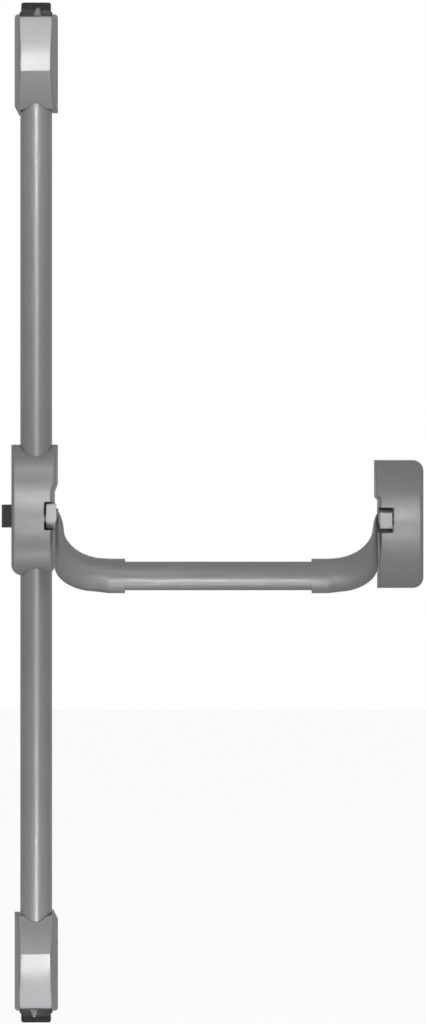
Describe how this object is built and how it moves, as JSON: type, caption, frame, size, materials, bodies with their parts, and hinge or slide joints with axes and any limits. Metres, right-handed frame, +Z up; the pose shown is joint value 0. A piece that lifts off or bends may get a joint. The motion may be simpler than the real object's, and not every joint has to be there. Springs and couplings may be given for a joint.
{
  "type": "fire door lock",
  "caption": "Push-bar exit device for a fire door: one oval bar on two arms draws back bolts at the top, the bottom and the side of the door together.",
  "frame": {"origin": "on the door's face, at the middle of the active case's four screw holes", "axes": "+Z up, +X along the push bar from the active case to the idle case, -Y from the door to the user"},
  "size_m": [0.5058, 0.1153, 1.2228],
  "materials": {
    "case_paint": "satin silver-grey enamel on a pressed or cast case",
    "rod_cover_paint": "satin silver-grey enamel on a rolled tube",
    "arm_paint": "satin silver-grey enamel on a casting",
    "bar_paint": "satin silver-grey enamel on an oval tube",
    "plate_steel": "zinc-plated pressed steel",
    "drive_steel": "plain machined steel",
    "rod_steel": "bright drawn steel",
    "bolt_dark": "dark blackened steel",
    "latch_dark": "dark olive-grey blackened steel",
    "spring_steel": "oiled spring wire",
    "bush_brass": "plain turned brass",
    "guide_plastic": "natural nylon",
    "screw_dark": "black oxide set screws"
  },
  "bodies": {
    "door_cases": {"active_base_plate": "plate_steel", "active_pivot_bracket": "plate_steel", "bracket_rivets": "drive_steel", "active_cover": "case_paint", "active_cover_screws": "screw_dark", "active_bushes": "bush_brass", "active_return_spring": "spring_steel", "slider_guides": "plate_steel", "rocker_stud": "drive_steel", "latch_guide": "plate_steel", "latch_spring": "spring_steel", "idle_base_plate": "plate_steel", "idle_pivot_bracket": "plate_steel", "idle_cover": "case_paint", "idle_cover_screws": "screw_dark", "idle_bushes": "bush_brass", "idle_return_spring": "spring_steel", "upper_rod_cover": "rod_cover_paint", "upper_rod_guides": "guide_plastic", "lower_rod_cover": "rod_cover_paint", "lower_rod_guides": "guide_plastic", "top_base_plate": "plate_steel", "top_cover": "case_paint", "top_bolt_guide": "bolt_dark", "top_bolt_spring": "spring_steel", "top_cover_screws": "screw_dark", "bottom_base_plate": "plate_steel", "bottom_cover": "case_paint", "bottom_bolt_guide": "bolt_dark", "bottom_bolt_spring": "spring_steel", "bottom_cover_screws": "screw_dark"},
    "bar": {"active_arm": "arm_paint", "idle_arm": "arm_paint", "push_bar": "bar_paint", "active_axle": "drive_steel", "active_drive_key": "drive_steel", "idle_axle": "drive_steel", "idle_drive_key": "drive_steel", "bar_set_screws": "screw_dark", "drive_crank": "drive_steel"},
    "rocker_lever": {"rocker": "drive_steel", "rocker_pins": "drive_steel"},
    "upper_train": {"upper_slider": "drive_steel", "upper_rod": "rod_steel", "upper_rod_pins": "drive_steel", "top_bolt": "bolt_dark"},
    "lower_train": {"lower_slider": "drive_steel", "lower_rod": "rod_steel", "lower_rod_pins": "drive_steel", "bottom_bolt": "bolt_dark"},
    "latch": {"side_latch": "latch_dark"}
  },
  "joints": [
    {"name": "bar_push", "type": "hinge", "parent": "door_cases", "child": "bar", "pos_m": [0, -0.03, -0.0108], "axis": [1, 0, 0], "range_deg": [0, 30], "stiffness_Nm_per_rad": 2, "springref_deg": -45.84},
    {"name": "rocker_turn", "type": "hinge", "parent": "door_cases", "child": "rocker_lever", "pos_m": [0, -0.0095, 0.024], "axis": [0, -1, 0], "range_deg": [0, 44.7]},
    {"name": "upper_draw", "type": "slide", "parent": "door_cases", "child": "upper_train", "axis": [0, 0, -1], "range_m": [0, 0.0114], "deforming": ["top_bolt_spring"]},
    {"name": "lower_draw", "type": "slide", "parent": "door_cases", "child": "lower_train", "axis": [0, 0, 1], "range_m": [0, 0.0114], "deforming": ["bottom_bolt_spring"]},
    {"name": "latch_draw", "type": "slide", "parent": "door_cases", "child": "latch", "axis": [1, 0, 0], "range_m": [0, 0.0114], "deforming": ["latch_spring"]}
  ],
  "couplings": [
    {"joint": "rocker_turn", "follows": "bar_push", "ratio": 1.4873},
    {"joint": "upper_draw", "follows": "bar_push", "m_per_rad": 0.021749},
    {"joint": "lower_draw", "follows": "bar_push", "m_per_rad": 0.021749},
    {"joint": "latch_draw", "follows": "bar_push", "m_per_rad": 0.021749}
  ]
}
